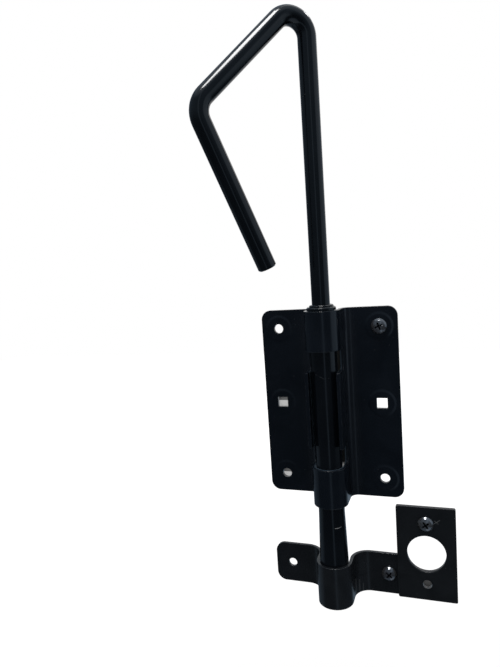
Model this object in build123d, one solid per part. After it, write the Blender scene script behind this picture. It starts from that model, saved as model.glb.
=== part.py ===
from build123d import *
import math
import os

# Ground bolt with a bent-rod handle, a pressed guide plate, a strap keeper and a flat strike plate.
# Frame: X to the right, +Z up, the face that lies on the door or board is the plane Y = 0,
# and everything stands out from it towards -Y. The origin is the centre of the guide plate's holes.
# Units are millimetres.

# Guide plate, one pressed sheet
plate_width = 100.0
plate_height = 140.0
plate_sheet = 2.4
plate_corner_radius = 7.0
plate_bend_radius = 5.7
hole_column_spacing = 74.0
round_hole_row_spacing = 112.0
round_hole_diameter = 7.0
square_hole_side = 7.6
boss_base_diameter = 20.4
boss_top_diameter = 17.0
boss_height = 0.35
loop_height = 28.0
middle_wall_height = 54.0
middle_wall_reach = 9.0
window_step = 3.5
window_corner_radius = 2.0

# Bolt bar, its stop ring and the handle bent from thin rod
bolt_axis_offset = 20.0
bolt_diameter = 18.8
guide_clearance = 0.5
bolt_end_diameter = 20.8
flare_start_below_plate = 6.0
flare_length = 37.0
bolt_end_in_keeper = 20.0
bolt_end_chamfer = 1.5
rod_diameter = 12.7
socket_depth = 12.0
socket_clearance = 0.1
stop_ring_lap = 0.45
stop_ring_height = 2.4
stop_ring_chamfer = 0.8
stop_clearance = 0.2
weld_reach = 2.8
weld_height = 1.9
apex_above_plate = 210.4
apex_bend_radius = 12.7
arm_reach = 81.0
arm_drop = 76.5
grip_bend_radius = 15.0
grip_return = 42.5
grip_drop = 102.5
grip_end_chamfer = 0.9
handle_swing = 41.0

# Strap keeper
keeper_gap_below_plate = 44.0
keeper_height = 31.0
keeper_sheet = 2.2
keeper_bend_radius = 11.2
keeper_corner_radius = 7.0
keeper_clearance = 0.25
keeper_hole_diameter = 6.6
keeper_hole_edge_distance = 13.0

# Strike plate for the ground, lapped over the keeper's right ear
strike_width = 41.0
strike_height = 70.0
strike_sheet = 3.0
strike_corner_radius = 1.2
strike_lap = 6.4
strike_rise = 19.5
strike_play = 6.2
strike_hole_chamfer = 0.5
strike_screw_spacing = 46.0
strike_screw_hole_diameter = 6.5

# Pan-head cross-recess screws
screw_head_diameter = 11.0
screw_head_height = 3.2
screw_crown_diameter = 4.4
screw_shoulder_diameter = 8.6
screw_shoulder_drop = 0.85
screw_rim_height = 0.9
screw_rim_draft = 0.3
screw_shank_diameter = 4.8
screw_length = 16.0
screw_tip_length = 4.0
recess_width = 1.3
recess_span = 5.6
recess_depth = 2.2
recess_draft = 12.0
plate_screw_turn = 20.0
keeper_screw_turn = 50.0
strike_screw_turn = 35.0

# Worked out from the sizes above
plate_top = plate_height / 2
plate_bottom = -plate_height / 2
hole_x = hole_column_spacing / 2
loop_inner_radius = bolt_diameter / 2 + guide_clearance
loop_outer_radius = loop_inner_radius + plate_sheet
window_floor = plate_sheet + plate_bend_radius + window_step
stop_ring_radius = loop_inner_radius + stop_ring_lap
stop_ring_base = plate_top + stop_clearance
stop_ring_top = stop_ring_base + stop_ring_height
keeper_top = plate_bottom - keeper_gap_below_plate
keeper_middle = keeper_top - keeper_height / 2
keeper_inner_radius = bolt_end_diameter / 2 + keeper_clearance
keeper_outer_radius = keeper_inner_radius + keeper_sheet
keeper_hole_x = plate_width / 2 - keeper_hole_edge_distance
strike_middle_x = plate_width / 2 - strike_lap + strike_width / 2
strike_middle_z = keeper_middle + strike_rise


def at_bolt_axis(shape):
    """Moves a shape made about the Z axis to the bolt's axis."""
    return Pos(0, -bolt_axis_offset, 0) * shape


def half_fold(half_width, sheet, inner, bend, reach):
    """Right half of a folded section: flat flange, bend and leg standing out as far as reach."""
    outer = inner + sheet
    bend_x = outer + bend
    bend_y = -(sheet + bend)
    slant = math.sqrt(0.5)
    back_middle = (bend_x - (bend + sheet) * slant, bend_y + (bend + sheet) * slant)
    front_middle = (bend_x - bend * slant, bend_y + bend * slant)
    outline = [
        Line((half_width, 0), (bend_x, 0)),
        ThreePointArc((bend_x, 0), back_middle, (inner, bend_y)),
        Line((inner, bend_y), (inner, -reach)),
        Line((inner, -reach), (outer, -reach)),
        Line((outer, -reach), (outer, bend_y)),
        ThreePointArc((outer, bend_y), front_middle, (bend_x, -sheet)),
        Line((bend_x, -sheet), (half_width, -sheet)),
        Line((half_width, -sheet), (half_width, 0)),
    ]
    return make_face(outline)


def folded_sheet(half_width, sheet, inner, bend, reach, low, high):
    """Both halves of a folded section, from the height low to the height high."""
    right = half_fold(half_width, sheet, inner, bend, reach)
    both = Sketch() + [right, mirror(right, about=Plane.YZ)]
    return Pos(0, 0, low) * extrude(both, high - low, dir=(0, 0, 1))


def half_round_loop(inner, sheet, low, high):
    """Front half of a tube about the bolt's axis."""
    outer = inner + sheet
    ring = Circle(outer) - Circle(inner)
    front = ring & Pos(0, -outer, 0) * Rectangle(2 * outer, 2 * outer)
    return at_bolt_axis(Pos(0, 0, low) * extrude(front, high - low, dir=(0, 0, 1)))


def outline_block(width, height, corner, depth, middle=(0, 0)):
    """A block with rounded corners seen from the front, reaching out from the mounting face."""
    face = Plane.XZ * Pos(middle[0], middle[1], 0) * RectangleRounded(width, height, corner)
    return extrude(face, depth, dir=(0, -1, 0))


def hole_tool(x, z, diameter, depth):
    return Pos(x, -depth / 2, z) * Rot(X=90) * Cylinder(diameter / 2, 2 * depth)


def hole_boss(x, z, face):
    """Low boss round a hole, on the front of the flange. Its back is flat on the door."""
    base = (Align.CENTER, Align.CENTER, Align.MIN)
    boss = Cone(boss_base_diameter / 2, boss_top_diameter / 2, boss_height, align=base)
    return Pos(x, -face, z) * Rot(X=90) * boss


def window_tool(low, high):
    """Side cut that frees a loop from the middle walls, down to just above the bend."""
    reach = bolt_axis_offset + 2 * loop_outer_radius
    depth = reach - window_floor
    side = Plane.YZ * Pos(-(reach + window_floor) / 2, (low + high) / 2, 0)
    profile = side * RectangleRounded(depth, high - low, window_corner_radius)
    return extrude(profile, 2 * loop_outer_radius, both=True)


def guide_plate():
    half_width = plate_width / 2
    wall_top = middle_wall_height / 2
    loop_bottom = plate_top - loop_height
    wall_front = bolt_axis_offset + middle_wall_reach
    fold = (half_width, plate_sheet, loop_inner_radius, plate_bend_radius)
    sheet = folded_sheet(*fold, bolt_axis_offset, plate_bottom, plate_top)
    sheet += folded_sheet(*fold, wall_front, -wall_top, wall_top)
    sheet += half_round_loop(loop_inner_radius, plate_sheet, loop_bottom, plate_top)
    sheet += half_round_loop(loop_inner_radius, plate_sheet, plate_bottom, -loop_bottom)
    sheet -= window_tool(wall_top, loop_bottom)
    sheet -= window_tool(-loop_bottom, -wall_top)
    depth = bolt_axis_offset + 2 * loop_outer_radius
    sheet &= outline_block(plate_width, plate_height, plate_corner_radius, depth)
    for x in (-hole_x, hole_x):
        for z in (-round_hole_row_spacing / 2, 0, round_hole_row_spacing / 2):
            sheet += hole_boss(x, z, plate_sheet)
            if z:
                sheet -= hole_tool(x, z, round_hole_diameter, plate_sheet)
            else:
                sheet -= Pos(x, 0, 0) * Box(square_hole_side, 4 * plate_sheet, square_hole_side)
    return sheet


def bolt_bar():
    """Round bar that widens towards its lower end, so that it can't be drawn up out of the guide."""
    radius = bolt_diameter / 2
    end_radius = bolt_end_diameter / 2
    flare_top = plate_bottom - flare_start_below_plate
    end = keeper_top - bolt_end_in_keeper
    outline = [
        (0, stop_ring_base),
        (radius, stop_ring_base),
        (radius, flare_top),
        (end_radius, flare_top - flare_length),
        (end_radius, end + bolt_end_chamfer),
        (end_radius - bolt_end_chamfer, end),
        (0, end),
    ]
    profile = Plane.XZ * make_face(Polyline(*outline, close=True))
    bar = revolve(profile, Axis.Z)
    socket_radius = rod_diameter / 2 + socket_clearance
    socket = Cylinder(socket_radius, socket_depth, align=(Align.CENTER, Align.CENTER, Align.MAX))
    bar -= Pos(0, 0, stop_ring_base) * socket
    return at_bolt_axis(bar)


def stop_ring():
    """Ring on top of the bar that rests on the upper loop when the bolt is down."""
    base = (Align.CENTER, Align.CENTER, Align.MIN)
    ring = Cylinder(stop_ring_radius, stop_ring_height, align=base)
    ring = chamfer(ring.edges().group_by(Axis.Z)[-1], stop_ring_chamfer)
    ring -= Cylinder(rod_diameter / 2 + socket_clearance, stop_ring_height, align=base)
    return at_bolt_axis(Pos(0, 0, stop_ring_base) * ring)


def handle_weld():
    """Fillet weld between the stop ring and the handle rod."""
    inner = rod_diameter / 2 + socket_clearance
    outline = Polyline((inner, 0), (inner + weld_reach, 0), (inner, weld_height), close=True)
    profile = Plane.XZ * make_face(outline)
    return at_bolt_axis(Pos(0, 0, stop_ring_top) * revolve(profile, Axis.Z))


def handle_rod():
    """One rod: stem, arm sloping out and down, and grip coming back towards the stem."""
    swing = math.radians(handle_swing)
    outward = Vector(-math.cos(swing), -math.sin(swing), 0)
    foot = Vector(0, -bolt_axis_offset, stop_ring_base - socket_depth + stop_clearance)
    apex = Vector(0, -bolt_axis_offset, plate_top + apex_above_plate)
    elbow = apex + outward * arm_reach - Vector(0, 0, arm_drop)
    end = elbow - outward * grip_return - Vector(0, 0, grip_drop)
    path = FilletPolyline(foot, apex, elbow, end, radius=[apex_bend_radius, grip_bend_radius])
    section = Plane(origin=foot, z_dir=(0, 0, 1)) * Circle(rod_diameter / 2)
    rod = sweep(section, path=path)
    end_face = rod.faces().sort_by_distance(end)[0]
    return chamfer(end_face.edges(), grip_end_chamfer)


def keeper_strap():
    half_width = plate_width / 2
    low = keeper_top - keeper_height
    strap = folded_sheet(
        half_width, keeper_sheet, keeper_inner_radius, keeper_bend_radius, bolt_axis_offset, low, keeper_top
    )
    strap += half_round_loop(keeper_inner_radius, keeper_sheet, low, keeper_top)
    depth = bolt_axis_offset + 2 * keeper_outer_radius
    strap &= outline_block(plate_width, keeper_height, keeper_corner_radius, depth, (0, keeper_middle))
    for x in (-keeper_hole_x, keeper_hole_x):
        strap -= hole_tool(x, keeper_middle, keeper_hole_diameter, keeper_sheet)
    return strap


def strike_plate():
    """Flat plate whose large hole takes the bolt's end where it goes into the ground."""
    middle = (strike_middle_x, strike_middle_z)
    hole_radius = (bolt_end_diameter + strike_play) / 2
    plate = outline_block(strike_width, strike_height, strike_corner_radius, strike_sheet, middle)
    plate -= hole_tool(*middle, 2 * hole_radius, strike_sheet)
    countersink = Cone(hole_radius, hole_radius + strike_hole_chamfer, strike_hole_chamfer)
    face = -strike_sheet + strike_hole_chamfer / 2
    plate -= Pos(middle[0], face, middle[1]) * Rot(X=90) * countersink
    for side in (-1, 1):
        z = strike_middle_z + side * strike_screw_spacing / 2
        plate -= hole_tool(strike_middle_x, z, strike_screw_hole_diameter, strike_sheet)
    return Pos(0, -keeper_sheet, 0) * plate


def cross_recess():
    """Two crossed blades that narrow with depth, down from Z = 0."""
    blade = extrude(Rectangle(recess_span, recess_width), recess_depth, dir=(0, 0, -1), taper=recess_draft)
    return blade + Rot(Z=90) * blade


def screw():
    """Screw along Z: the head's underside is at Z = 0 and the tip points down."""
    head = screw_head_diameter / 2
    shank = screw_shank_diameter / 2
    outline = [
        (0, screw_head_height),
        (screw_crown_diameter / 2, screw_head_height),
        (screw_shoulder_diameter / 2, screw_head_height - screw_shoulder_drop),
        (head, screw_rim_height),
        (head - screw_rim_draft, 0),
        (shank, 0),
        (shank, screw_tip_length - screw_length),
        (0, -screw_length),
    ]
    body = revolve(Plane.XZ * make_face(Polyline(*outline, close=True)), Axis.Z)
    return body - Pos(0, 0, screw_head_height) * cross_recess()


def fixing_screws():
    """The three screws, each with its head on the face that it holds."""
    strike_face = keeper_sheet + strike_sheet
    strike_top_hole = strike_middle_z + strike_screw_spacing / 2
    seats = [
        (hole_x, plate_sheet + boss_height, round_hole_row_spacing / 2, plate_screw_turn),
        (keeper_hole_x, keeper_sheet, keeper_middle, keeper_screw_turn),
        (strike_middle_x, strike_face, strike_top_hole, strike_screw_turn),
    ]
    return [Pos(x, -face, z) * Rot(X=90) * Rot(Z=turn) * screw() for x, face, z, turn in seats]


os.makedirs("parts", exist_ok=True)
export_step(guide_plate(), "parts/guide_plate.step")
export_step(bolt_bar(), "parts/bolt_bar.step")
export_step(stop_ring(), "parts/stop_ring.step")
export_step(handle_weld(), "parts/handle_weld.step")
export_step(handle_rod(), "parts/handle_rod.step")
export_step(keeper_strap(), "parts/keeper_strap.step")
export_step(strike_plate(), "parts/strike_plate.step")
export_step(Compound(children=fixing_screws()), "parts/fixing_screws.step")
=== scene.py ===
import math

import bpy
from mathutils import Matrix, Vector, noise


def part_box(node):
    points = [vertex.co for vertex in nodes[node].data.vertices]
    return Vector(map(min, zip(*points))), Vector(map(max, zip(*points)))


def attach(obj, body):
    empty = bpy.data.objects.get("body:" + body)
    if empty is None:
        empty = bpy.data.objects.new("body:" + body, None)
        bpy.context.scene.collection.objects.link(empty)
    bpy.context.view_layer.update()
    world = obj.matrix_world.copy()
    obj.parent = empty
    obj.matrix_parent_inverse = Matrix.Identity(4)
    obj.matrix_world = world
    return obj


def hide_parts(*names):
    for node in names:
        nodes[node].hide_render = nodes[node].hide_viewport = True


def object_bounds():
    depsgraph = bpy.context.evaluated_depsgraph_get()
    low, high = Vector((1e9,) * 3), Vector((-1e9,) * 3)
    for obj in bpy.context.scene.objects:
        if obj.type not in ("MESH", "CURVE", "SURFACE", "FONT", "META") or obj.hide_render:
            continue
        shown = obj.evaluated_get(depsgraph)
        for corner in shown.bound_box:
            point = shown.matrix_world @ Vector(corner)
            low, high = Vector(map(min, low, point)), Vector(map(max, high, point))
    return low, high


# Ground bolt: the looks of every piece, the weld and the threads, the studio and the camera.
# Metres, in the frame of the part: X to the right, +Z up, the mounting faces in the plane Y = 0.

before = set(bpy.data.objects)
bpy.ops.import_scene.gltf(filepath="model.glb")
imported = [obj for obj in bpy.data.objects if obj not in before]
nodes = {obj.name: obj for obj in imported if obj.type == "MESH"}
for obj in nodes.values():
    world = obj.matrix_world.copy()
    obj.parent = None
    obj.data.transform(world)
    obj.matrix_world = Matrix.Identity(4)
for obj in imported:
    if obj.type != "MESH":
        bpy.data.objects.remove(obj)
cad_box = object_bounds()

# Camera at the photograph's place
CAMERA_PLACE = (0.08261, -0.39807, 0.09952)
CAMERA_TURN_DEG = (83.685, 3.846, 19.419)
CAMERA_LENS_MM = 29.765
SENSOR_MM = 36.0
CAMERA_CLIP = (0.01, 50)

# Colours of the coats, and of what lies on them or shows through them
COAT_PLATE = (0.0025, 0.0042, 0.0074)
COAT_BOLT = (0.0018, 0.0026, 0.0040)
COAT_KEEPER = (0.0058, 0.0068, 0.0084)
COAT_STRIKE = (0.0044, 0.0050, 0.0062)
SCREW_ZINC = (0.150, 0.155, 0.165)
# Painted bounce light: a pale colour laid into crevices to lift their shade
CREVICE_PAINTED_LIGHT = (0.028, 0.032, 0.040)
# Painted light on the inner walls of the plate's channel, lifting their shade
CHANNEL_PAINTED_LIGHT = (0.062, 0.090, 0.120)
BARE_METAL = (0.20, 0.205, 0.21)
DUST = (0.10, 0.105, 0.11)
# Paler coat for hairline scratches and worn edges; on the edges it is partly a painted sheen
EDGE_WEAR_AND_SHEEN = (0.024, 0.028, 0.033)
# A faint pale line across the bar's front
FAINT_PALE_LINE = (0.020, 0.022, 0.026)
# Pale vertical streaks on the keeper's right bend
PALE_STREAK = (0.024, 0.026, 0.029)

# Patterns in the coat, in cells to a metre. HAIRS also gives the distortion of each set of
# scratches and its stretch along the axes
PEEL_PER_METRE = 620.0
GRAIN_PER_METRE = 4200.0
SMUDGE_PER_METRE = 38.0
DUST_PER_METRE = 230.0
DUSTY_AREAS_PER_METRE = 61.0
EDGE_PATCHES_PER_METRE = 320.0
RAGGED_PER_METRE = 3200.0
HAIRS = ((900.0, 0.3, (1.0, 1.0, 0.02)), (700.0, 0.6, (0.03, 1.0, 0.6)))

# From where to where each pattern comes in
HAIR_FADE = (0.725, 0.75)
SPECK_FADE = (0.075, 0.04)
DUSTY_AREA_FADE = (0.58, 0.62)
SMUDGE_COLOUR_FADE = (0.35, 0.70)
SMUDGE_ROUGH_FADE = (0.32, 0.70)
CREVICE_FADE = (0.85, 0.35)
EDGE_FADE = (0.995, 0.90)
EDGE_PATCH_FADE = (0.42, 0.62)

# How much each changes the colour and the roughness
SMUDGE_PALER = 1.5
HAIR_COLOUR, HAIR_ROUGH = 0.25, 0.10
DUST_COLOUR, DUST_ROUGH = 0.6, 0.5
EDGE_COLOUR, EDGE_ROUGH = 0.55, 0.12
MARK_ROUGH = 0.4

# Sides of a mark as shares of its width: how ragged, its core, and how soft
MARK_RAGGED, MARK_CORE, MARK_SOFT = 1.1, 0.1, 0.15

# Relief of the coat, and how near a corner has to be to take painted bounce light
GRAIN_STRENGTH, GRAIN_DEPTH = 0.2, 0.000003
PEEL_STRENGTH, PEEL_DEPTH = 0.5, 0.00002
CREVICE_DISTANCE = 0.012
SHADER_SAMPLES = 6

# The plate's channel for the bar: how far its axis stands out, and where the painted light on its
# inner walls begins
CHANNEL_AXIS = 0.0199
CHANNEL_REACH = (0.0112, 0.0102)

# Fillet weld round the foot of the rod. The shares are of the CAD weld's reach and rise: the
# least one, and what the fuller side adds
WELD_ROWS = 26
WELD_STEPS = 220
WELD_RIPPLES = 22
WELD_INNER = 0.0062
WELD_SINK = 0.0001
WELD_FULL_SIDE = math.radians(-40)
WELD_REACH_SHARES = (0.70, 0.26)
WELD_RISE_SHARES = (0.86, 0.10)
WELD_MOST = 0.98
WELD_WANDER, WELD_WANDER_SCALE, WELD_WANDER_START = 0.10, 1.7, (3.1, 0.4, 7.7)
WELD_RIPPLE, WELD_RIPPLE_MEAN, WELD_RIPPLE_SHIFT = 0.05, 0.6, 2.2
WELD_CORNER = 0.7
WELD_LEAN = 0.16

# Screws: the face that each head stands on, its middle in X and Z, and the thread
SCREW_SEATS = {
    "plate": (0.037, -0.00275, 0.056),
    "keeper": (0.037, -0.0022, -0.1295),
    "strike": (0.0641, -0.0052, -0.087),
}
SHANK_RADIUS = 0.0024
SHANK_LENGTH = 0.012
SCREW_LENGTH = 0.016
THREAD_PITCH = 0.0018
THREAD_HEIGHT = 0.00048
THREAD_SINK = 0.00004
THREAD_START = 0.0021
THREAD_END = 0.0152
THREAD_STEPS_PER_TURN = 36
# Section of the thread as places along the screw and shares of its height. It rises over the
# first sixth of its length and runs out over the last quarter
THREAD_SECTION = ((-0.00042, 0.0), (-0.00006, 1.0), (0.00006, 1.0), (0.00042, 0.0))
THREAD_RUN_IN, THREAD_RUN_OUT, THREAD_LEAST = 6.0, 4.0, 0.02

# Marks as start, end, width and colour
BAR_MARKS = (
    ((0.0038, -0.0289, -0.0852), (0.0058, -0.0277, -0.0852), 0.00045, BARE_METAL),
    ((0.0058, -0.0277, -0.0852), (0.0074, -0.0262, -0.0848), 0.00040, BARE_METAL),
    ((-0.0046, -0.0282, 0.0262), (-0.0013, -0.0293, 0.0246), 0.00022, FAINT_PALE_LINE),
    ((-0.0013, -0.0293, 0.0246), (0.0014, -0.0293, 0.0232), 0.00030, FAINT_PALE_LINE),
    ((0.0014, -0.0293, 0.0232), (0.0047, -0.0281, 0.0233), 0.00025, FAINT_PALE_LINE),
)
KEEPER_MARKS = (
    ((0.0133, -0.0105, -0.1330), (0.0133, -0.0105, -0.1448), 0.0016, PALE_STREAK),
    ((0.0152, -0.0065, -0.1350), (0.0152, -0.0065, -0.1448), 0.0012, PALE_STREAK),
    ((0.0176, -0.0042, -0.1390), (0.0176, -0.0042, -0.1448), 0.0007, PALE_STREAK),
)
STRIKE_MARKS = (
    ((0.0692, -0.0052, -0.0870), (0.0738, -0.0052, -0.0836), 0.0003, DUST),
    ((0.0700, -0.0052, -0.0842), (0.0728, -0.0052, -0.0866), 0.0002, DUST),
)

# Floor, which gives the camera its own white, more so further out
FLOOR_DROP = 0.45
FLOOR_SIZE = 8.0
FLOOR_GREY = 0.45
FLOOR_GLOW_REACH = (0.3, 1.8)
FLOOR_GLOW = (0.60, 1.0)

# Strips of the board that the part is fixed to, as left, right, low and high, and their greys. The
# greys are painted shade: each strip stands for the white board where the part shades it, and the lit
# strips also glow with painted light.
BOARD_PLACE = 0.0002
HOLE_LIT_STRIPS = ((-0.0430, -0.0310, -0.0060, 0.0006), (-0.0430, -0.0310, -0.0620, -0.0562))
# Painted light: the lower strips glow, standing for light that falls through the holes
HOLE_LIT_GREY, HOLE_PAINTED_LIGHT = 0.62, 0.30
HOLE_DIM_STRIPS = ((-0.0430, -0.0310, 0.0006, 0.0060), (-0.0430, -0.0310, -0.0562, -0.0500))
# Painted shade: the upper strips are darker, standing for the shadow of each hole's upper edge
HOLE_SHADE_GREY = 0.40
STRIKE_HOLE_STRIPS = ((0.0596, 0.0686, -0.1418, -0.1290),)
# Painted shade: the strike hole's strip is a dark grey
STRIKE_HOLE_SHADE_GREY = 0.30
CHANNEL_STRIPS = ((-0.0130, 0.0130, -0.066, 0.066),)
# Painted shade: the strip behind the bar is dark grey
CHANNEL_SHADE_GREY = 0.10
CHANNEL_FADE = (0.046, 0.064)

# The room. Heights are sines of the elevation, bearings are in degrees from the front
FRONT_FILL = 0.55
ROOM_TINT = (0.68, 0.92, 1.18)
ROOM_TINT_FADE = (0.3, 0.8)
ROOM_FRONT_HEIGHTS = (-0.14, 0.31)
ROOM_LOW, ROOM_HIGH = 0.045, 0.17
# White behind the part: its strength, where it starts and is full, and how it falls off above
# and below, as two heights and the share at each
ROOM_BEHIND = 0.8
ROOM_BEHIND_BEARINGS = (130.0, 155.0)
ROOM_BEHIND_FADES = ((0.42, 0.60, 1.0, 0.35), (-0.45, -0.15, 0.3, 1.0))
ROOM_CEILING = 0.5
ROOM_CEILING_HEIGHTS = (0.62, 0.80)
# Pale walls: bearing, half width, soft edge, strength, and the heights at which each starts and
# is full
ROOM_BANDS = (
    (102.0, 26.0, 9.0, 0.32, -0.34, -0.17),
    (-105.0, 25.0, 10.0, 0.10, -0.17, -0.34),
    (16.0, 3.0, 4.0, 0.24, -1.2, -1.0),
    (80.0, 60.0, 20.0, 0.30, -0.58, -0.72),
    (0.0, 180.0, 1.0, 0.12, -0.74, -0.88),
    (158.0, 10.0, 8.0, 1.0, 0.26, 0.36),
)

# Lamps: bearing and elevation in degrees, distance, size and watts
LAMP_AIM = (0.0, 0.0, 0.05)
LAMPS = {
    "key_overhead": (-3.0, 73.5, 1.3, (0.42, 0.36), 9.0),
    "rear_top": (150.0, 50.0, 1.4, (0.30, 0.12), 1.2),
}


def link(tree, a, b):
    tree.links.new(a, b)


def add(tree, kind, **settings):
    made = tree.nodes.new(kind)
    for name, value in settings.items():
        setattr(made, name, value)
    return made


def value_math(tree, operation, a, b=None, c=None, clamp=False):
    """A Math node. Each of a, b and c is a socket or a number."""
    made = add(tree, "ShaderNodeMath", operation=operation, use_clamp=clamp)
    for socket, given in zip(made.inputs, (a, b, c)):
        if given is None:
            continue
        if isinstance(given, (int, float)):
            socket.default_value = given
        else:
            link(tree, given, socket)
    return made.outputs[0]


def vector_math(tree, operation, a, b=None):
    made = add(tree, "ShaderNodeVectorMath", operation=operation)
    for socket, given in zip(made.inputs, (a, b)):
        if given is None:
            continue
        if isinstance(given, (tuple, Vector)):
            socket.default_value = tuple(given)
        else:
            link(tree, given, socket)
    return made


def ramp(tree, socket, low, high, start=0.0, end=1.0):
    """Straight change from start to end as the value goes from low to high."""
    made = add(tree, "ShaderNodeMapRange")
    made.inputs["From Min"].default_value = low
    made.inputs["From Max"].default_value = high
    made.inputs["To Min"].default_value = start
    made.inputs["To Max"].default_value = end
    link(tree, socket, made.inputs["Value"])
    return made.outputs["Result"]


def noise_field(tree, coords, per_metre, detail=2.0, distortion=0.0, stretch=None):
    """Noise with about this many cells to a metre, drawn out along an axis where stretch says."""
    if stretch:
        mapping = add(tree, "ShaderNodeMapping")
        mapping.inputs["Scale"].default_value = stretch
        link(tree, coords, mapping.inputs["Vector"])
        coords = mapping.outputs["Vector"]
    made = add(tree, "ShaderNodeTexNoise")
    made.inputs["Scale"].default_value = per_metre
    made.inputs["Detail"].default_value = detail
    made.inputs["Distortion"].default_value = distortion
    link(tree, coords, made.inputs["Vector"])
    return made.outputs["Fac"]


def mix_colour(tree, factor, a, b):
    made = add(tree, "ShaderNodeMix", data_type="RGBA")
    link(tree, factor, made.inputs["Factor"])
    for name, given in (("A", a), ("B", b)):
        socket = next(s for s in made.inputs if s.name == name and s.type == "RGBA")
        if isinstance(given, tuple):
            socket.default_value = (*given, 1.0)
        else:
            link(tree, given, socket)
    return next(s for s in made.outputs if s.type == "RGBA")


def stroke(tree, coords, start, end, width):
    """1 on a mark from start to end, with ragged sides, and 0 away from it."""
    start, end = Vector(start), Vector(end)
    along = end - start
    reach = vector_math(tree, "SUBTRACT", coords, start).outputs["Vector"]
    forward = vector_math(tree, "DOT_PRODUCT", reach, along).outputs["Value"]
    share = value_math(tree, "DIVIDE", forward, along.length_squared, clamp=True)
    spread = add(tree, "ShaderNodeVectorMath", operation="SCALE")
    spread.inputs["Vector"].default_value = along
    link(tree, share, spread.inputs["Scale"])
    gap = vector_math(tree, "DISTANCE", reach, spread.outputs["Vector"]).outputs["Value"]
    ragged = noise_field(tree, coords, RAGGED_PER_METRE, detail=3.0)
    edge = value_math(tree, "MULTIPLY_ADD", ragged, MARK_RAGGED * width, MARK_CORE * width)
    return ramp(tree, value_math(tree, "SUBTRACT", edge, gap), 0.0, MARK_SOFT * width)


def in_channel(tree, coords):
    """1 on the inner walls of the plate's channel, 0 on its outside and beyond."""
    parts = add(tree, "ShaderNodeSeparateXYZ")
    link(tree, coords, parts.inputs[0])
    behind_axis = value_math(tree, "ADD", parts.outputs["Y"], CHANNEL_AXIS)
    across = add(tree, "ShaderNodeCombineXYZ")
    link(tree, parts.outputs["X"], across.inputs["X"])
    link(tree, value_math(tree, "MINIMUM", behind_axis, 0.0), across.inputs["Y"])
    away = vector_math(tree, "LENGTH", across.outputs["Vector"]).outputs["Value"]
    return ramp(tree, away, *CHANNEL_REACH)


def hairlines(tree, coords):
    """1 on the fine scratches that run up the part and across it."""
    up, over = (
        ramp(tree, noise_field(tree, coords, per_metre, 1.0, distortion, stretch), *HAIR_FADE)
        for per_metre, distortion, stretch in HAIRS
    )
    return value_math(tree, "MAXIMUM", up, over)


def dust_specks(tree, coords):
    """1 on specks of dust, which lie in some areas only."""
    cells = add(tree, "ShaderNodeTexVoronoi", feature="F1")
    cells.inputs["Scale"].default_value = DUST_PER_METRE
    link(tree, coords, cells.inputs["Vector"])
    speck = ramp(tree, cells.outputs["Distance"], *SPECK_FADE)
    area = ramp(tree, noise_field(tree, coords, DUSTY_AREAS_PER_METRE), *DUSTY_AREA_FADE)
    return value_math(tree, "MULTIPLY", speck, area)


def rounded_edges(tree, coords, radius):
    """The normal of a surface whose edges are rounded, and 1 on patches of its edges, which get a
    paler colour that is partly wear and partly a painted sheen.
    """
    rounded = add(tree, "ShaderNodeBevel", samples=SHADER_SAMPLES)
    rounded.inputs["Radius"].default_value = radius
    normal = rounded.outputs["Normal"]
    geometry = add(tree, "ShaderNodeNewGeometry")
    facing = vector_math(tree, "DOT_PRODUCT", normal, geometry.outputs["Normal"])
    corner = ramp(tree, facing.outputs["Value"], *EDGE_FADE)
    patches = noise_field(tree, coords, EDGE_PATCHES_PER_METRE, detail=4.0)
    patchy = ramp(tree, patches, *EDGE_PATCH_FADE)
    return normal, value_math(tree, "MULTIPLY", corner, patchy)


def bump(tree, height, strength, depth, normal=None):
    made = add(tree, "ShaderNodeBump")
    made.inputs["Strength"].default_value = strength
    made.inputs["Distance"].default_value = depth
    link(tree, height, made.inputs["Height"])
    if normal is not None:
        link(tree, normal, made.inputs["Normal"])
    return made.outputs["Normal"]


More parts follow.
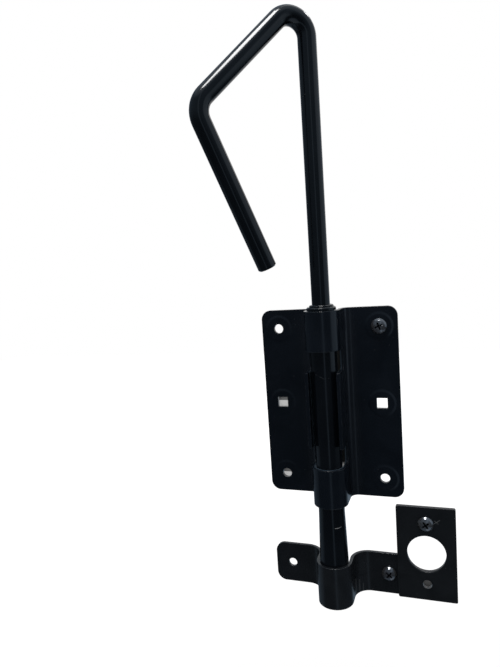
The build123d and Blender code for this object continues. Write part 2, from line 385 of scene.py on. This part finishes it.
def powder_coat(name, colour, low_rough, high_rough, peel_depth=PEEL_DEPTH, hairs=0.25,
                edge_radius=0.0005, metallic=0.0, marks=(), channel=False):
    """Coated metal: orange peel, smudges, hairlines, dust, and edges that are worn and partly given a
    painted sheen; crevices get painted bounce light. marks are strokes of another colour as
    (start, end, width, colour), and channel paints light onto the inner walls of the plate's channel."""
    made = bpy.data.materials.new(name)
    made.use_nodes = True
    tree = made.node_tree
    shader = tree.nodes["Principled BSDF"]
    shader.inputs["Metallic"].default_value = metallic
    coords = add(tree, "ShaderNodeTexCoord").outputs["Object"]

    smudge = noise_field(tree, coords, SMUDGE_PER_METRE, detail=4.0, distortion=0.8)
    peel = noise_field(tree, coords, PEEL_PER_METRE, detail=1.5)
    grain = noise_field(tree, coords, GRAIN_PER_METRE)
    scratch = value_math(tree, "MULTIPLY", hairlines(tree, coords), hairs)
    dust = dust_specks(tree, coords)

    paler = tuple(SMUDGE_PALER * part for part in colour)
    body = mix_colour(tree, ramp(tree, smudge, *SMUDGE_COLOUR_FADE), colour, paler)
    body = mix_colour(tree, value_math(tree, "MULTIPLY", scratch, HAIR_COLOUR), body, EDGE_WEAR_AND_SHEEN)
    body = mix_colour(tree, value_math(tree, "MULTIPLY", dust, DUST_COLOUR), body, DUST)
    # Painted bounce light: where ambient occlusion finds a crevice, the colour is lifted towards a
    # pale one
    crevice = add(tree, "ShaderNodeAmbientOcclusion", samples=SHADER_SAMPLES, only_local=True)
    crevice.inputs["Distance"].default_value = CREVICE_DISTANCE
    body = mix_colour(tree, ramp(tree, crevice.outputs["AO"], *CREVICE_FADE), body, CREVICE_PAINTED_LIGHT)
    # Painted light on the channel's inner walls, lifting their shade
    if channel:
        body = mix_colour(tree, in_channel(tree, coords), body, CHANNEL_PAINTED_LIGHT)
    rough = ramp(tree, smudge, *SMUDGE_ROUGH_FADE, low_rough, high_rough)
    rough = value_math(tree, "MULTIPLY_ADD", scratch, HAIR_ROUGH, rough)
    rough = value_math(tree, "MULTIPLY_ADD", dust, DUST_ROUGH, rough, clamp=True)

    normal = None
    if edge_radius:
        normal, worn_sheen_mask = rounded_edges(tree, coords, edge_radius)
        # Worn edges, partly a painted sheen: patches of the edges are made paler
        body = mix_colour(tree, value_math(tree, "MULTIPLY", worn_sheen_mask, EDGE_COLOUR), body, EDGE_WEAR_AND_SHEEN)
        rough = value_math(tree, "MULTIPLY_ADD", worn_sheen_mask, EDGE_ROUGH, rough, clamp=True)
    for start, end, width, paint in marks:
        struck = stroke(tree, coords, start, end, width)
        body = mix_colour(tree, struck, body, paint)
        rough = value_math(tree, "MULTIPLY_ADD", struck, MARK_ROUGH, rough, clamp=True)
    normal = bump(tree, grain, GRAIN_STRENGTH, GRAIN_DEPTH, normal)
    normal = bump(tree, peel, PEEL_STRENGTH, peel_depth, normal)
    link(tree, body, shader.inputs["Base Color"])
    link(tree, rough, shader.inputs["Roughness"])
    link(tree, normal, shader.inputs["Normal"])
    return made


def dress(node, material):
    """Gives a CAD node its material."""
    piece = nodes[node]
    if not piece.data.materials:
        piece.data.materials.append(material)
    for place in range(len(piece.data.materials)):
        piece.data.materials[place] = material


def new_piece(name, points, faces, material, body):
    mesh = bpy.data.meshes.new(name)
    mesh.from_pydata(points, [], faces)
    mesh.update()
    mesh.shade_smooth()
    mesh.materials.append(material)
    piece = bpy.data.objects.new(name, mesh)
    bpy.context.scene.collection.objects.link(piece)
    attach(piece, body)
    return piece


def closed_grid_faces(rows, steps):
    """Faces of a ring: rows points round each section, steps sections round the ring."""
    return [
        (s * rows + r, s * rows + (r + 1) % rows,
         ((s + 1) % steps) * rows + (r + 1) % rows, ((s + 1) % steps) * rows + r)
        for s in range(steps) for r in range(rows)
    ]


def weld_share(shares, full, wander, ripple):
    """Share of the CAD weld's size that the uneven bead fills at one place."""
    least, more = shares
    uneven = WELD_WANDER * wander + WELD_RIPPLE * (ripple - WELD_RIPPLE_MEAN)
    return min(WELD_MOST, least + more * full + uneven)


def squared_off(wave):
    """A sine or cosine as a share from 0 to 1, which fills out a circle's corners."""
    return 0.5 + 0.5 * math.copysign(abs(wave) ** WELD_CORNER, wave)


def weld_bead(material):
    """The weld as it was laid: an uneven bead round the rod's foot, fuller at its front right."""
    low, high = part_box("handle_weld")
    centre = (low + high) / 2
    outer = (high.x - low.x) / 2
    rise = high.z - low.z
    points = []
    for s in range(WELD_STEPS):
        angle = 2 * math.pi * s / WELD_STEPS
        way = Vector((math.cos(angle), math.sin(angle), 0))
        wander = noise.noise(way * WELD_WANDER_SCALE + Vector(WELD_WANDER_START))
        ripple = abs(math.sin(WELD_RIPPLES * angle / 2 + WELD_RIPPLE_SHIFT * wander))
        full = 0.5 + 0.5 * math.cos(angle - WELD_FULL_SIDE)
        reach = (outer - WELD_INNER) * weld_share(WELD_REACH_SHARES, full, wander, ripple)
        height = rise * weld_share(WELD_RISE_SHARES, full, wander, ripple)
        for r in range(WELD_ROWS):
            turn = 2 * math.pi * r / WELD_ROWS
            out, up = squared_off(math.cos(turn)), squared_off(math.sin(turn))
            lean = WELD_LEAN * out * up
            foot = Vector((centre.x, centre.y, low.z - WELD_SINK + (up - lean) * height))
            points.append(foot + way * (WELD_INNER + (out - lean) * reach))
    faces = closed_grid_faces(WELD_ROWS, WELD_STEPS)
    bead = new_piece("weld_bead", points, faces, material, "bolt")
    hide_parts("handle_weld")


def screw_thread(name, seat, material):
    """The raised thread of one screw, which runs out over its tip. The screw stands along Y."""
    middle_x, face, middle_z = seat
    turns = (THREAD_END - THREAD_START) / THREAD_PITCH
    steps = int(turns * THREAD_STEPS_PER_TURN)
    points = []
    for s in range(steps + 1):
        depth = THREAD_START + (THREAD_END - THREAD_START) * s / steps
        turn = 2 * math.pi * s / THREAD_STEPS_PER_TURN
        taper = min(1.0, (SCREW_LENGTH - depth) / (SCREW_LENGTH - SHANK_LENGTH))
        root = SHANK_RADIUS * taper - THREAD_SINK
        run_out = min(1.0, THREAD_RUN_IN * s / steps, THREAD_RUN_OUT * (steps - s) / steps)
        for along, out in THREAD_SECTION:
            radius = root + out * THREAD_HEIGHT * max(run_out, THREAD_LEAST)
            points.append((middle_x + radius * math.cos(turn), face + depth + along,
                           middle_z + radius * math.sin(turn)))
    rows = len(THREAD_SECTION)
    faces = [
        (s * rows + r, s * rows + (r + 1) % rows, (s + 1) * rows + (r + 1) % rows, (s + 1) * rows + r)
        for s in range(steps) for r in range(rows)
    ]
    faces += [tuple(reversed(range(rows))), tuple(steps * rows + r for r in range(rows))]
    piece = new_piece(name, points, faces, material, "mounted")
    piece.data.shade_flat()


coat_plate = powder_coat("plate_powder_coat", COAT_PLATE, low_rough=0.16, high_rough=0.25,
                         edge_radius=0.0008, channel=True)
coat_bar = powder_coat("bolt_powder_coat", COAT_BOLT, low_rough=0.12, high_rough=0.20,
                       marks=BAR_MARKS)
coat_rod = powder_coat("rod_powder_coat", COAT_BOLT, low_rough=0.10, high_rough=0.17,
                       peel_depth=0.000012, hairs=0.2, edge_radius=0.0)
coat_keeper = powder_coat("keeper_powder_coat", COAT_KEEPER, low_rough=0.18, high_rough=0.28,
                          edge_radius=0.0008, marks=KEEPER_MARKS)
coat_strike = powder_coat("strike_powder_coat", COAT_STRIKE, low_rough=0.30, high_rough=0.42,
                          marks=STRIKE_MARKS)
black_zinc = powder_coat("screw_black_zinc", SCREW_ZINC, low_rough=0.10, high_rough=0.20,
                         peel_depth=0.00006, metallic=0.85)
dress("guide_plate", coat_plate)
dress("bolt_bar", coat_bar)
dress("stop_ring", coat_bar)
dress("handle_weld", coat_bar)
dress("handle_rod", coat_rod)
dress("keeper_strap", coat_keeper)
dress("strike_plate", coat_strike)
dress("fixing_screws", black_zinc)
weld_bead(coat_bar)
for held, seat in SCREW_SEATS.items():
    screw_thread(held + "_screw_thread", seat, black_zinc)


def stage_material(name, grey, cut_out):
    """A matt grey with a light of its own. cut_out(tree) makes a socket that says where it
    shows, and it is clear elsewhere. Gives the material and the strength of its own light."""
    made = bpy.data.materials.new(name)
    made.use_nodes = True
    tree = made.node_tree
    tree.nodes.remove(tree.nodes["Principled BSDF"])
    matt = add(tree, "ShaderNodeBsdfDiffuse")
    matt.inputs["Color"].default_value = (grey, grey, grey, 1)
    glow = add(tree, "ShaderNodeEmission")
    glow.inputs["Color"].default_value = (1, 1, 1, 1)
    both = add(tree, "ShaderNodeAddShader")
    link(tree, matt.outputs[0], both.inputs[0])
    link(tree, glow.outputs[0], both.inputs[1])
    clear = add(tree, "ShaderNodeBsdfTransparent")
    seen = add(tree, "ShaderNodeMixShader")
    link(tree, cut_out(tree), seen.inputs[0])
    link(tree, clear.outputs[0], seen.inputs[1])
    link(tree, both.outputs[0], seen.inputs[2])
    link(tree, seen.outputs[0], tree.nodes["Material Output"].inputs["Surface"])
    return made, glow.inputs["Strength"]


def outside_reflections(tree):
    glossy = add(tree, "ShaderNodeLightPath").outputs["Is Glossy Ray"]
    return value_math(tree, "SUBTRACT", 1.0, glossy)


def floor():
    """Pale floor well below the part, which is fixed above it. Reflections look past it."""
    bpy.ops.mesh.primitive_plane_add(size=FLOOR_SIZE, location=(0, 0, cad_box[0].z - FLOOR_DROP))
    plane = bpy.context.object
    plane.name = "studio_floor"
    made, own_light = stage_material("studio_floor", FLOOR_GREY, outside_reflections)
    tree = made.node_tree
    coords = add(tree, "ShaderNodeTexCoord").outputs["Object"]
    away = vector_math(tree, "LENGTH", coords).outputs["Value"]
    white = ramp(tree, away, *FLOOR_GLOW_REACH, *FLOOR_GLOW)
    for_camera = add(tree, "ShaderNodeLightPath").outputs["Is Camera Ray"]
    link(tree, value_math(tree, "MULTIPLY", for_camera, white), own_light)
    plane.data.materials.append(made)


def from_the_front(tree, shown):
    back = add(tree, "ShaderNodeNewGeometry").outputs["Backfacing"]
    return value_math(tree, "MULTIPLY", shown, value_math(tree, "SUBTRACT", 1.0, back))


def camera_from_front(tree):
    return from_the_front(tree, add(tree, "ShaderNodeLightPath").outputs["Is Camera Ray"])


def fading_up_and_down(tree):
    """For the channel's strip, which shades the channel as well as showing in it."""
    place = add(tree, "ShaderNodeSeparateXYZ")
    link(tree, add(tree, "ShaderNodeNewGeometry").outputs["Position"], place.inputs[0])
    off = value_math(tree, "ABSOLUTE", place.outputs["Z"])
    return from_the_front(tree, ramp(tree, off, *CHANNEL_FADE, 1.0, 0.0))


def mounting_board(name, grey, strips, cut_out=camera_from_front, light=0.0):
    """Strips of the board that the part is fixed to, which show only from the front. light
    stands for what falls on them through a hole."""
    points, faces = [], []
    for left, right, low, high in strips:
        first = len(points)
        corners = ((left, low), (right, low), (right, high), (left, high))
        points += [(x, BOARD_PLACE, z) for x, z in corners]
        faces.append((first, first + 1, first + 2, first + 3))
    mesh = bpy.data.meshes.new(name)
    mesh.from_pydata(points, [], faces)
    mesh.update()
    made, own_light = stage_material(name, grey, cut_out)
    own_light.default_value = light
    mesh.materials.append(made)
    board = bpy.data.objects.new(name, mesh)
    bpy.context.scene.collection.objects.link(board)


def band(tree, value, middle, half, soft):
    """1 within half of the middle, falling to 0 over soft on both sides."""
    off = value_math(tree, "ABSOLUTE", value_math(tree, "SUBTRACT", value, middle))
    return ramp(tree, off, half, half + soft, 1.0, 0.0)


def studio_world():
    """White for the camera and a soft fill for matt surfaces. Reflections see a dim room in
    front, paler walls at its sides and white behind the part."""
    world = bpy.data.worlds.new("studio")
    bpy.context.scene.world = world
    world.use_nodes = True
    tree = world.node_tree
    background = tree.nodes["Background"]
    way = add(tree, "ShaderNodeSeparateXYZ")
    link(tree, add(tree, "ShaderNodeTexCoord").outputs["Generated"], way.inputs[0])
    front = value_math(tree, "MULTIPLY", way.outputs["Y"], -1.0)
    bearing = value_math(tree, "DEGREES", value_math(tree, "ARCTAN2", way.outputs["X"], front))
    height = way.outputs["Z"]
    room = ramp(tree, height, *ROOM_FRONT_HEIGHTS, ROOM_LOW, ROOM_HIGH)
    for middle, half, soft, strength, start, full in ROOM_BANDS:
        pale = value_math(tree, "MULTIPLY", band(tree, bearing, middle, half, soft), strength)
        pale = value_math(tree, "MULTIPLY", pale, ramp(tree, height, start, full))
        room = value_math(tree, "ADD", room, pale)
    off_front = value_math(tree, "ABSOLUTE", bearing)
    behind = ramp(tree, off_front, *ROOM_BEHIND_BEARINGS, 0.0, ROOM_BEHIND)
    for fade in ROOM_BEHIND_FADES:
        behind = value_math(tree, "MULTIPLY", behind, ramp(tree, height, *fade))
    room = value_math(tree, "MAXIMUM", room, behind)
    ceiling = ramp(tree, height, *ROOM_CEILING_HEIGHTS, 0.0, ROOM_CEILING)
    room = value_math(tree, "MAXIMUM", room, ceiling)
    tint = mix_colour(tree, ramp(tree, room, *ROOM_TINT_FADE), ROOM_TINT, (1.0, 1.0, 1.0))

    path = add(tree, "ShaderNodeLightPath")
    plain = value_math(tree, "MAXIMUM", path.outputs["Is Camera Ray"], FRONT_FILL)
    glossy = path.outputs["Is Glossy Ray"]
    lit = add(tree, "ShaderNodeMix", data_type="FLOAT")
    link(tree, glossy, lit.inputs["Factor"])
    link(tree, plain, lit.inputs["A"])
    link(tree, room, lit.inputs["B"])
    link(tree, lit.outputs["Result"], background.inputs["Strength"])
    link(tree, mix_colour(tree, glossy, (1.0, 1.0, 1.0), tint), background.inputs["Color"])


def soft_box(name, place, aim, size, power):
    """An area lamp at place that looks at aim."""
    lamp = bpy.data.lights.new(name, "AREA")
    lamp.shape = "RECTANGLE"
    lamp.size, lamp.size_y = size
    lamp.energy = power
    box = bpy.data.objects.new(name, lamp)
    box.location = place
    box.rotation_euler = (aim - place).to_track_quat("-Z", "Y").to_euler()
    bpy.context.scene.collection.objects.link(box)


def on_dome(bearing, elevation, distance):
    """A place at this bearing from the part: 0 is in front of it and 90 to its right."""
    a, e = math.radians(bearing), math.radians(elevation)
    return Vector((math.sin(a) * math.cos(e), -math.cos(a) * math.cos(e), math.sin(e))) * distance


def lights():
    aim = Vector(LAMP_AIM)
    for name, (bearing, elevation, distance, size, power) in LAMPS.items():
        soft_box(name, aim + on_dome(bearing, elevation, distance), aim, size, power)


def camera():
    data = bpy.data.cameras.new("camera")
    data.sensor_width = SENSOR_MM
    data.lens = CAMERA_LENS_MM
    data.clip_start, data.clip_end = CAMERA_CLIP
    eye = bpy.data.objects.new("camera", data)
    eye.location = CAMERA_PLACE
    eye.rotation_euler = [math.radians(turn) for turn in CAMERA_TURN_DEG]
    bpy.context.scene.collection.objects.link(eye)
    bpy.context.scene.camera = eye


floor()
# Painted light and painted shade behind the holes: the lower strips glow, and the others are darker
# greys
mounting_board("board_painted_light_through_holes", HOLE_LIT_GREY, HOLE_LIT_STRIPS, light=HOLE_PAINTED_LIGHT)
mounting_board("board_painted_shade_behind_plate_holes", HOLE_SHADE_GREY, HOLE_DIM_STRIPS)
mounting_board("board_painted_shade_behind_strike_hole", STRIKE_HOLE_SHADE_GREY, STRIKE_HOLE_STRIPS)
# Painted shade: a dark grey strip behind the bar stands for the board in the channel's shadow
mounting_board("board_painted_shade_behind_bar", CHANNEL_SHADE_GREY, CHANNEL_STRIPS, fading_up_and_down)
studio_world()
lights()
camera()
bpy.context.scene.view_settings.view_transform = "Standard"
